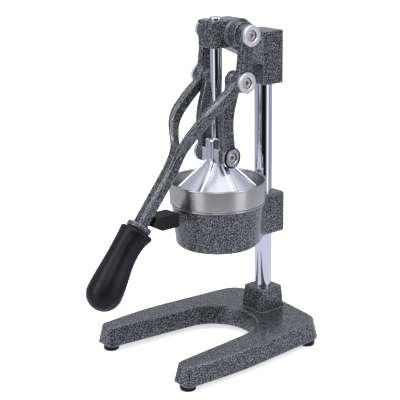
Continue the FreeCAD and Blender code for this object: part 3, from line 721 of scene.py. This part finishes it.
@dataclass
class Stand(Assembly):
    """Base casting on four rubber feet, with the chromed column bolted into it."""

    foot_front: Pair = (76.0, -110.0)
    foot_rear: Pair = (72.5, 82.0)
    foot_radius: float = 10.0
    foot_taper: float = 0.8
    foot_edge: float = 1.5
    foot_shelf: Pair = (0.2, 2.0)
    foot_recess: Pair = (4.6, 4.2)
    column_edge: float = 1.0
    foot_segments: int = 64
    column_segments: int = 128

    def build(self) -> None:
        """Make the base, its feet and the column."""
        Casting("base_casting", "frame").build("base_painted", self.finishes.paint)
        self.feet()
        self.column()

    def feet(self) -> None:
        """Set a moulded foot under each corner."""
        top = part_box("rubber_feet")[1].z / MM
        recess_radius, recess_depth = self.foot_recess
        shelf_in, shelf_drop = self.foot_shelf
        corners = [
            (0.0, top, 0.0), (self.foot_radius, top, 0.4),
            (self.foot_radius - shelf_in, top - shelf_drop, 0.5),
            (self.foot_radius - self.foot_taper, 0.0, self.foot_edge), (recess_radius, 0.0, 0.6),
            (recess_radius, recess_depth, 0.3), (0.0, recess_depth, 0.0)]
        foot = mesh_object("foot_shape", lathe(rounded_profile(corners), self.foot_segments, False))
        spots = [(Vector((side * x * MM, y * MM, 0.0)), Way.UP.value)
                 for x, y in (self.foot_front, self.foot_rear) for side in (1, -1)]
        piece = self.places.spread("moulded_feet", foot, spots)
        settle(piece, "frame", self.finishes.rubber, "rubber_feet")

    def column(self) -> None:
        """Turn the column with bright softened ends."""
        low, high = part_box("column_bar")
        radius = (high.x - low.x) / 2 / MM
        corners = [
            (0.0, low.z / MM, 0.0), (radius, low.z / MM, self.column_edge),
            (radius, high.z / MM, self.column_edge), (0.0, high.z / MM, 0.0)]
        bm = lathe(rounded_profile(corners), self.column_segments, False)
        bmesh.ops.translate(bm, verts=bm.verts, vec=((low.x + high.x) / 2, (low.y + high.y) / 2, 0.0))
        settle(mesh_object("column_chromed", bm), "frame", self.finishes.chrome, "column_bar")


@dataclass
class CupBracket(Assembly):
    """Painted ring on the column and the rubber bumper on its front lug."""

    def build(self) -> None:
        """Make the bracket and its bumper."""
        Casting("cup_bracket", "frame").build("bracket_painted", self.finishes.paint)
        Casting("lever_bumper", "frame").build("bumper_moulded", self.finishes.rubber)


@dataclass
class JuiceSet(Assembly):
    """Stainless strainer cup with its reaming cone, on the funnel that hangs in the bracket."""

    wall: float = 1.2
    bead: float = 1.4
    bead_inset: float = 0.6
    bead_steps: int = 16
    cup_height: float = 26.3
    reamer_radius: float = 38.0
    reamer_height: float = 36.0
    reamer_tip: float = 7.0
    rib_count: int = 8
    rib_half: float = 1.6
    rib_edge: float = 0.9
    slot_count: int = 16
    slot_steps: int = 2
    slot_radii: Pair = (42.0, 54.0)
    floor_radius: float = 57.7
    rim_radius: float = 58.4
    level: float = 0.01
    segments: int = 192
    funnel_lip: float = 57.5
    funnel_radius: float = 47.6
    funnel_wall: float = 1.5
    funnel_shoulder: float = 163.0
    spout: Triple = (13.0, 144.0, 126.0)

    def build(self) -> None:
        """Make the cup, its ribs and the funnel."""
        self.cup()
        self.ribs()
        self.funnel()

    def cup(self) -> None:
        """Spin the cup from one sheet, cut its slots and roll its rim."""
        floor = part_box("strainer_cup")[0].z / MM
        rim = floor + self.cup_height
        tip = floor + self.reamer_height
        plate = floor + self.wall
        sheet = rounded_profile([
            (0.0, tip, 0.0), (self.reamer_tip, tip, 5.0), (self.reamer_radius, plate, 4.0),
            (self.slot_radii[0], plate, 0.0), (self.slot_radii[1], plate, 0.0),
            (self.floor_radius - self.wall, plate, 2.0),
            (self.rim_radius - self.wall, rim - self.bead, 0.0)], steps=8)
        bm = lathe(sheet, self.segments, False)
        step = self.segments // self.slot_count
        inner, outer = (r * MM for r in self.slot_radii)
        holes = []
        for face in bm.faces:
            centre = face.calc_center_median()
            turn = math.atan2(centre.y, centre.x) / (2 * math.pi) * self.segments
            in_ring = inner < math.hypot(centre.x, centre.y) < outer
            in_plate = abs(centre.z - plate * MM) < self.level * MM
            if in_ring and in_plate and int(turn % step) < self.slot_steps:
                holes.append(face)
        bmesh.ops.delete(bm, geom=holes, context="FACES")
        piece = mesh_object("cup_spun", bm)
        solid = piece.modifiers.new("sheet", "SOLIDIFY")
        solid.thickness = self.wall * MM
        solid.offset = -1.0 if piece.data.polygons[0].normal.z > 0 else 1.0
        bake(piece)
        roll = bmesh.new()
        roll.from_mesh(piece.data)
        radius, height = self.rim_radius - self.bead_inset, rim - self.bead
        turns = [2 * math.pi * k / self.bead_steps for k in range(self.bead_steps)]
        ring = [(radius + self.bead * math.cos(a), height + self.bead * math.sin(a)) for a in turns]
        append_mesh(roll, lathe(ring, self.segments, True))
        bpy.data.objects.remove(piece)
        settle(mesh_object("cup_spun", roll), "frame", self.finishes.stainless, "strainer_cup")

    def ribs(self) -> None:
        """Set the reaming cone's ribs round it."""
        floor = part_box("strainer_cup")[0].z / MM + self.wall
        tip = floor + self.reamer_height - self.wall
        crest = [(self.reamer_tip - 2.0, tip), (self.reamer_tip + 1.5, tip - 0.6),
                 (self.reamer_radius + 1.8, floor + 0.8), (self.reamer_radius - 5.0, floor + 0.4)]
        right, left = ([(r, half, z) for r, z in crest] for half in (self.rib_half, -self.rib_half))
        bm = bevelled_prism(right, left, self.rib_edge, 2)
        rib = mesh_object("rib_shape", bm, sharp_deg=60.0)
        spots = [(Vector((0.0, 0.0, 0.0)), (0.0, 0.0, 2 * math.pi * (k + 0.5) / self.rib_count))
                 for k in range(self.rib_count)]
        piece = self.places.spread("reamer_ribs", rib, spots)
        settle(piece, "frame", self.finishes.stainless)

    def funnel(self) -> None:
        """Press the funnel with its flat lip."""
        lip_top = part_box("juice_funnel")[1].z / MM
        wall = self.funnel_wall
        lip_low = lip_top - wall
        spout_radius, spout_top, spout_end = self.spout
        inner = self.funnel_radius - wall
        bore = spout_radius - wall
        corners = [
            (self.funnel_lip, lip_low, 0.6), (self.funnel_radius, lip_low, 0.5),
            (self.funnel_radius, self.funnel_shoulder, 6.0), (spout_radius, spout_top, 5.0),
            (spout_radius, spout_end, 0.5), (bore, spout_end, 0.5), (bore, spout_top + wall, 5.0),
            (inner, self.funnel_shoulder + wall, 6.0), (inner, lip_top, 1.0), (self.funnel_lip, lip_top, 0.6)]
        bm = lathe(rounded_profile(corners, closed=True), self.segments, True)
        settle(mesh_object("funnel_pressed", bm), "frame", self.finishes.stainless, "juice_funnel")


@dataclass
class PivotHardware(Assembly):
    """Chromed flanged sleeves and the socket screws in them, both ends of one pivot."""

    pivot: str
    body: str
    root_mm: float
    plate: Dress
    flange_thick: float = 3.9
    dome: float = 0.6
    barrel: float = 9.0
    recess: Pair = (6.5, 7.6)
    groove: Pair = (0.0, 0.0)
    screw_radius: float = 4.0
    play: float = 0.05
    shank: float = 6.0
    head: Pair = (5.6, 6.4)
    socket: Pair = (2.4, 3.5)
    segments: int = 72

    def build(self) -> None:
        """Set the sleeves and the screws at both ends."""
        low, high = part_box(self.pivot + "_pivot_sleeves")
        radius = (high.y - low.y) / 2 / MM
        y, z = (low.y + high.y) / 2, (low.z + high.z) / 2
        ends = [(Vector((high.x, y, z)), Way.RIGHT.value), (Vector((low.x, y, z)), Way.LEFT.value)]
        depth = high.x / MM - self.root_mm
        recess_radius, recess_depth = self.recess
        bore = self.screw_radius + self.play
        corners = [
            (bore, -depth, 0.0), (self.barrel, -depth, 0.0), (self.barrel, -self.flange_thick, 0.0),
            (radius, -self.flange_thick, 0.5), (radius, -self.dome, 0.6), (radius - self.dome, 0.0, 0.4)]
        groove_in, groove_width = self.groove
        if groove_width:
            groove_out, groove_floor = groove_in + groove_width, -2 * groove_width
            corners += [(groove_out, 0.0, 0.2), (groove_out, groove_floor, 0.0),
                        (groove_in, groove_floor, 0.0), (groove_in, 0.0, 0.2)]
        corners += [
            (recess_radius + 0.6, 0.0, 0.4), (recess_radius, -0.6, 0.3), (recess_radius, -recess_depth, 0.0),
            (bore, -recess_depth, 0.0)]
        bm = lathe(rounded_profile(corners, closed=True), self.segments, True)
        sleeve = mesh_object("sleeve_shape", bm)
        piece = self.places.spread(self.pivot + "_sleeves_chromed", sleeve, ends)
        settle(piece, self.body, self.plate, self.pivot + "_pivot_sleeves")
        sunk = high.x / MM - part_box(self.pivot + "_pivot_screws")[1].x / MM
        self.screws(ends, sunk)

    def screws(self, ends: list, sunk: float) -> None:
        """Turn a socket screw and set it in each sleeve.

        Args:
            ends: Places and turns of the two sleeves.
            sunk: Depth of the screw's face under the sleeve's, in millimetres.
        """
        head_radius, head_height = self.head
        socket_half, socket_depth = self.socket
        seat = -sunk - head_height
        shank_end = seat - self.shank
        profile = [
            (0.0, -sunk - socket_depth, 0), (socket_half, -sunk - socket_depth, 6),
            (socket_half, -sunk - 0.4, 6), (socket_half + 0.75, -sunk, 0), (head_radius - 0.7, -sunk, 0),
            (head_radius - 0.15, -sunk - 0.3, 0), (head_radius, -sunk - 0.9, 0), (head_radius, seat, 0),
            (self.screw_radius, seat, 0), (self.screw_radius, shank_end, 0), (0.0, shank_end, 0)]
        screw = mesh_object("screw_shape", lathe(profile, self.segments, False))
        piece = self.places.spread(self.pivot + "_socket_screws", screw, ends)
        settle(piece, self.body, self.finishes.zinc, self.pivot + "_pivot_screws")


@dataclass
class Plunger(Assembly):
    """Polished press bell on its chromed guide rod, with the stop cap on top."""

    rim_radius: float = 51.0
    shoulder: Pair = (19.5, 230.0)
    wall: float = 3.2
    roof: Pair = (11.0, 233.0)
    neck: Pair = (11.4, 239.0)
    rib_count: int = 6
    rib_turn_deg: float = -70.0
    rib_half: float = 2.3
    rib_foot: float = 1.5
    rib_rise: float = 2.1
    rib_start: float = 1.0
    rib_runs: Pair = (5.0, 1.5)
    rib_section: tuple[Triple, ...] = (
        (-1.0, -1.0, 0.0), (-1.0, -0.8, 0.07), (-1.0, -0.5, 0.5), (-1.0, -0.2, 0.93), (-1.0, 0.0, 1.0),
        (-0.5, 0.0, 1.0), (0.0, 0.0, 1.0), (0.5, 0.0, 1.0),
        (1.0, 0.0, 1.0), (1.0, 0.2, 0.93), (1.0, 0.5, 0.5), (1.0, 0.8, 0.07), (1.0, 1.0, 0.0))
    panel_steps: int = 44
    ring_step: float = 1.6
    neck_edge: float = 0.8
    lug_x: float = 15.5
    lug_root: float = 2.0
    lug_half: float = 11.0
    lug_edge: float = 1.4
    lug_heights: Triple = (253.0, 237.0, 227.0)
    rod_segments: int = 96

    def build(self) -> None:
        """Make the bell, the rod and its cap."""
        self.bell()
        self.rod()

    def rib_ring(self, radius: float) -> list[Pair]:
        """Spread the points of one ring of the bell so that they follow the ribs' edges.

        Args:
            radius: Radius of the bell there, in millimetres.

        Returns:
            Angle of each point and its share of the ribs' rise.
        """
        pitch = 2 * math.pi / self.rib_count
        reach = (self.rib_half + self.rib_foot) / radius
        points = []
        for k in range(self.rib_count):
            middle = math.radians(self.rib_turn_deg) + pitch * k
            for top, foot, share in self.rib_section:
                points.append((middle + (top * self.rib_half + foot * self.rib_foot) / radius, share))
            for step in range(1, self.panel_steps):
                points.append((middle + reach + (pitch - 2 * reach) * step / self.panel_steps, 0.0))
        return points

    def bell(self) -> None:
        """Shape the bell with its ribs, which go up the neck as fins, and the lugs for the links."""
        low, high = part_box("press_cone")
        rim, top = low.z / MM, high.z / MM
        under = rounded_profile([
            (0.0, self.roof[1], 0.0), (self.roof[0], self.roof[1], 6.0),
            (self.rim_radius - self.wall, rim, 0.0)])
        over = rounded_profile([
            (self.rim_radius, rim, 0.0), (self.rim_radius, rim + self.rib_start, 0.4),
            (self.shoulder[0], self.shoulder[1], 8.0), (self.neck[0], self.neck[1], 6.0),
            (self.neck[0], top - self.neck_edge, 0.0), (self.neck[0] - self.neck_edge, top, 0.0)], steps=10)
        start_run, end_run = self.rib_runs
        bm = bmesh.new()
        rings = []
        for radius, height in under:
            steps = [turn for turn, _ in self.rib_ring(max(radius, self.neck[0]))]
            rings.append(round_ring(bm, radius, height, steps))
        for radius, height in subdivide(over, self.ring_step):
            grow = min(max((height - rim - self.rib_start) / start_run, 0.0), 1.0)
            grow *= min(max((top - height) / end_run, 0.0), 1.0)
            ring = []
            for turn, share in self.rib_ring(radius):
                reach = (radius + grow * self.rib_rise * share) * MM
                ring.append(bm.verts.new((reach * math.cos(turn), reach * math.sin(turn), height * MM)))
            rings.append(ring)
        rings.append(round_ring(bm, 0.0, top, [0.0] * len(rings[0])))
        join_rings(bm, rings)
        for side in (1, -1):
            self.lug(bm, side)
        piece = mesh_object("bell_polished", bm, sharp_deg=62.0)
        settle(piece, "plunger", self.finishes.alloy, "press_cone")

    def lug(self, bm: BMesh, side: int) -> None:
        """Add the flat lug that carries a link, with its pointed lower end.

        Args:
            bm: Mesh of the bell.
            side: 1 for the right, -1 for the left.
        """
        top, shoulder, tip = self.lug_heights
        outline = [(-self.lug_half, top), (-self.lug_half, shoulder), (0.0, tip),
                   (self.lug_half, shoulder), (self.lug_half, top)]
        root, face = ([(side * x, y, z) for y, z in outline] for x in (self.lug_root, self.lug_x))
        append_mesh(bm, bevelled_prism(root, face, self.lug_edge, 3))

    def rod(self) -> None:
        """Turn the guide rod and the domed stop cap on its end."""
        low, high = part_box("guide_rod")
        cap_low, cap_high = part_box("rod_stop_cap")
        foot, seat, top = low.z / MM, cap_low.z / MM, cap_high.z / MM
        radius, cap_radius = (high.x - low.x) / 2 / MM, (cap_high.x - cap_low.x) / 2 / MM
        bar = [(0.0, foot, 0.0), (radius, foot, 0.3), (radius, seat, 0.3), (0.0, seat, 0.0)]
        cap = [(0.0, seat, 0.0), (cap_radius, seat, 0.5), (cap_radius, top - 0.5, 1.6),
               (cap_radius * 0.5, top, 2.0), (0.0, top, 0.0)]
        for name, node, corners in (("rod_chromed", "guide_rod", bar), ("cap_chromed", "rod_stop_cap", cap)):
            piece = mesh_object(name, lathe(rounded_profile(corners), self.rod_segments, False))
            settle(piece, "plunger", self.finishes.chrome, node)


@dataclass
class HandLever(Assembly):
    """Forked lever casting and its moulded grip."""

    collar_start: Pair = (-117.684, 177.254)
    grip_fall_deg: float = 52.9
    grip_offset: float = 4.5
    grip_length: float = 101.5
    bulb: float = 21.2
    stations: tuple[Triple, ...] = (
        (0.0, 18.3, 0.0), (0.8, 19.2, 0.0), (2.2, 19.8, 0.0), (4.5, 19.6, 0.1), (8.0, 18.7, 0.9),
        (13.0, 17.8, 1.9), (20.0, 17.2, 2.7), (30.0, 17.0, 3.0), (42.0, 17.7, 2.6), (55.0, 19.2, 1.6),
        (68.0, 20.6, 0.6), (76.0, 21.1, 0.1), (80.3, 21.2, 0.0))
    station_steps: int = 3
    end_steps: int = 14
    segments: int = 96
    ridge: float = 0.8
    ridge_deg: float = 6.0

    def build(self) -> None:
        """Make the casting and the grip."""
        Casting("lever_casting", "lever").build("lever_painted", self.finishes.paint)
        self.grip()

    def grip(self) -> None:
        """Mould the grip: a lip, a waist under the hand, a full bulb and a soft seam along each side."""
        fall = math.radians(self.grip_fall_deg)
        run = Vector((0.0, -math.cos(fall), -math.sin(fall)))
        above = Vector((0.0, -math.sin(fall), math.cos(fall)))
        side = Vector((1.0, 0.0, 0.0))
        mouth = Vector((0.0, *self.collar_start)) + run * self.grip_offset
        sections = smooth_stations(self.stations, self.station_steps)
        start = self.stations[-1][0]
        reach = self.grip_length - start
        for k in range(1, self.end_steps):
            turn = math.pi / 2 * k / self.end_steps
            sections.append((start + reach * math.sin(turn), self.bulb * math.cos(turn), 0.0))
        bm = bmesh.new()
        rings = [[bm.verts.new(mouth * MM)] * self.segments]
        for along, radius, lift in sections:
            centre = mouth + run * along + above * lift
            ring = []
            for k in range(self.segments):
                turn = 2 * math.pi * k / self.segments
                off = min(abs(turn), abs(turn - math.pi), abs(turn - 2 * math.pi))
                seam = self.ridge * math.exp(-(off / math.radians(self.ridge_deg)) ** 2)
                grown = radius + seam * min(1.0, radius / self.bulb)
                spot = centre + side * (grown * math.cos(turn)) + above * (grown * math.sin(turn))
                ring.append(bm.verts.new(spot * MM))
            rings.append(ring)
        rings.append([bm.verts.new((mouth + run * self.grip_length) * MM)] * self.segments)
        join_rings(bm, rings)
        settle(mesh_object("grip_moulded", bm), "lever", self.finishes.plastic, "grip_handle")


@dataclass
class HiddenParts(Assembly):
    """Solids whose own shape is right: they get only their finish."""

    def dress(self) -> None:
        """Give each its material."""
        for names, dress in (
            (("feet_screws", "column_bolt", "column_washer", "bracket_set_screw", "head_set_screws",
              "grip_stud"), self.finishes.zinc),
            (("rod_guide_bush",), self.finishes.bronze),
        ):
            for name in names:
                paint_piece(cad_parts[name], dress.material)
                log.info("solid %s dressed", name)


@dataclass
class Studio:
    """Pale floor, soft boxes and the camera where the picture was taken from."""

    target: Triple = (0.0, -27.14, 192.35)
    azimuth_deg: float = 51.0
    elevation_deg: float = 16.37
    roll_deg: float = -0.79
    distance: float = 1397.8
    lens: float = 105.8
    sensor: float = 36.0
    sight: float = 50.0
    floor_radius: float = 7.0
    card_radius: float = 0.62
    disc_segments: int = 96
    room_light: float = 1.35
    ceiling: str = "#e7e9f2"
    backdrop: str = "#ffffff"
    ceiling_from: Pair = (0.5, 0.92)
    room: tuple[tuple[float, str], ...] = (
        (-180.0, "#a5a7b0"), (-90.0, "#999ba4"), (-64.0, "#8a8c94"), (-57.0, "#f0f2ff"), (-38.0, "#f0f2ff"),
        (-30.0, "#6a6b72"), (-16.0, "#141417"), (25.0, "#141417"), (37.0, "#6a6b72"), (48.0, "#f0f2ff"),
        (64.0, "#f0f2ff"), (74.0, "#777980"), (100.0, "#999ba4"), (180.0, "#a5a7b0"))
    boxes: tuple[tuple[str, Triple, Pair, float], ...] = (
        ("key_left", (-0.4, -1.9, 1.2), (0.7, 1.6), 11.0),
        ("fill_right", (1.9, 0.6, 1.0), (0.7, 1.6), 7.0),
        ("over_camera", (1.25, -1.0, 1.9), (0.9, 0.9), 14.0),
        ("top", (0.2, -0.2, 2.2), (1.8, 1.8), 22.0))
    unmirrored_box: str = "top"
    aim: Triple = (0.0, 0.0, 0.2)

    def build(self) -> None:
        """Set up the floor, the light and the camera."""
        self.camera()
        self.floor()
        self.world()
        self.lights()

    def camera(self) -> None:
        """Place the camera."""
        lens = bpy.data.cameras.new("camera")
        lens.lens = self.lens
        lens.sensor_width = self.sensor
        lens.clip_end = self.sight
        camera = bpy.data.objects.new("camera", lens)
        bpy.context.scene.collection.objects.link(camera)
        turn, rise = math.radians(self.azimuth_deg), math.radians(self.elevation_deg)
        back = Vector((math.sin(turn) * math.cos(rise), -math.cos(turn) * math.cos(rise), math.sin(rise)))
        place = (Vector(self.target) + back * self.distance) * MM
        facing = back.to_track_quat("Z", "Y").to_matrix().to_4x4()
        camera.matrix_world = (Matrix.Translation(place) @ facing
                               @ Matrix.Rotation(math.radians(self.roll_deg), 4, "Z"))
        bpy.context.scene.camera = camera

    def floor(self) -> None:
        """Lay a wide pale floor, and round the press a grey card that only mirrors see."""
        white = LitFloor("lit_white_acrylic", "#f4f4f4", 0.9)
        grey = LitFloor("glowing_grey_card", "#bfc1cb", 0.9, glow=0.35)
        for name, radius, finish, unseen_by in (
            ("studio_floor", self.floor_radius, white, ("glossy",)),
            ("mirror_card", self.card_radius, grey, ("camera", "diffuse", "shadow")),
        ):
            bm = bmesh.new()
            bmesh.ops.create_circle(bm, cap_ends=True, radius=radius, segments=self.disc_segments)
            piece = mesh_object(name, bm)
            paint_piece(piece, finish.build())
            for rays in unseen_by:
                setattr(piece, "visible_" + rays, False)

    def world(self) -> None:
        """Surround the scene with a grey room, which the metal mirrors but no view shows.

        It is dark behind the photograph's viewpoint, with a bright strip on each side of that,
        and it has a pale ceiling.
        """
        world = bpy.data.worlds.new("studio")
        bpy.context.scene.world = world
        world.use_nodes = True
        tree = world.node_tree
        tree.nodes.clear()
        add = partial(add_node, tree)
        way = add("ShaderNodeTexCoord").outputs["Generated"]
        turned = add("ShaderNodeMapping", {
            "Vector": way, "Rotation": (0.0, 0.0, math.radians(90.0 - self.azimuth_deg))})
        parts = add("ShaderNodeSeparateXYZ", {"Vector": turned.outputs["Vector"]})
        angle = add("ShaderNodeMath", {0: parts.outputs["Y"], 1: parts.outputs["X"]}, operation="ARCTAN2")
        share = add("ShaderNodeMapRange", {
            "Value": angle.outputs[0], "From Min": -math.pi, "From Max": math.pi})
        stops = [(0.5 + degrees / 360.0, colour) for degrees, colour in self.room]
        walls = colour_ramp(tree, share.outputs["Result"], stops)
        height = add("ShaderNodeMapRange", {
            "Value": parts.outputs["Z"], "From Min": self.ceiling_from[0],
            "From Max": self.ceiling_from[1]}, interpolation_type="SMOOTHSTEP")
        whole = add("ShaderNodeMix", {
            0: height.outputs["Result"], 6: walls, 7: linear(self.ceiling)}, data_type="RGBA")
        shown = add("ShaderNodeMix", {
            0: add("ShaderNodeLightPath").outputs["Is Camera Ray"],
            6: whole.outputs[2], 7: linear(self.backdrop)}, data_type="RGBA")
        sky = add("ShaderNodeBackground", {"Color": shown.outputs[2], "Strength": self.room_light})
        add("ShaderNodeOutputWorld", {"Surface": sky.outputs["Background"]})

    def lights(self) -> None:
        """Hang the soft boxes."""
        for name, place, size, power in self.boxes:
            light = bpy.data.lights.new(name, "AREA")
            light.shape = "RECTANGLE"
            light.size, light.size_y = size
            light.energy = power
            lamp = bpy.data.objects.new(name, light)
            lamp.visible_glossy = name != self.unmirrored_box
            bpy.context.scene.collection.objects.link(lamp)
            back = Vector(place) - Vector(self.aim)
            lamp.matrix_world = Matrix.Translation(place) @ back.to_track_quat("Z", "Y").to_matrix().to_4x4()


def main() -> None:
    logging.basicConfig(level=logging.INFO, format="%(message)s")
    finishes = Finishes()
    shared = (finishes, PlaceTree())
    Stand(*shared).build()
    CupBracket(*shared).build()
    JuiceSet(*shared).build()
    Casting("head_casting", "frame").build("head_painted", finishes.paint)
    HandLever(*shared).build()
    for side in ("right", "left"):
        Casting("press_link_" + side, "link_" + side).build(f"link_{side}_painted", finishes.paint)
    Plunger(*shared).build()
    PivotHardware(*shared, "upper", "frame", 29.0, finishes.satin).build()
    PivotHardware(*shared, "mid", "lever", 26.2, finishes.satin).build()
    PivotHardware(*shared, "lower", "plunger", 15.5, finishes.rimmed, groove=(8.9, 1.6)).build()
    HiddenParts(*shared).dress()
    Studio().build()
    bpy.context.scene.view_settings.view_transform = "Standard"


if __name__ == "__main__":
    main()
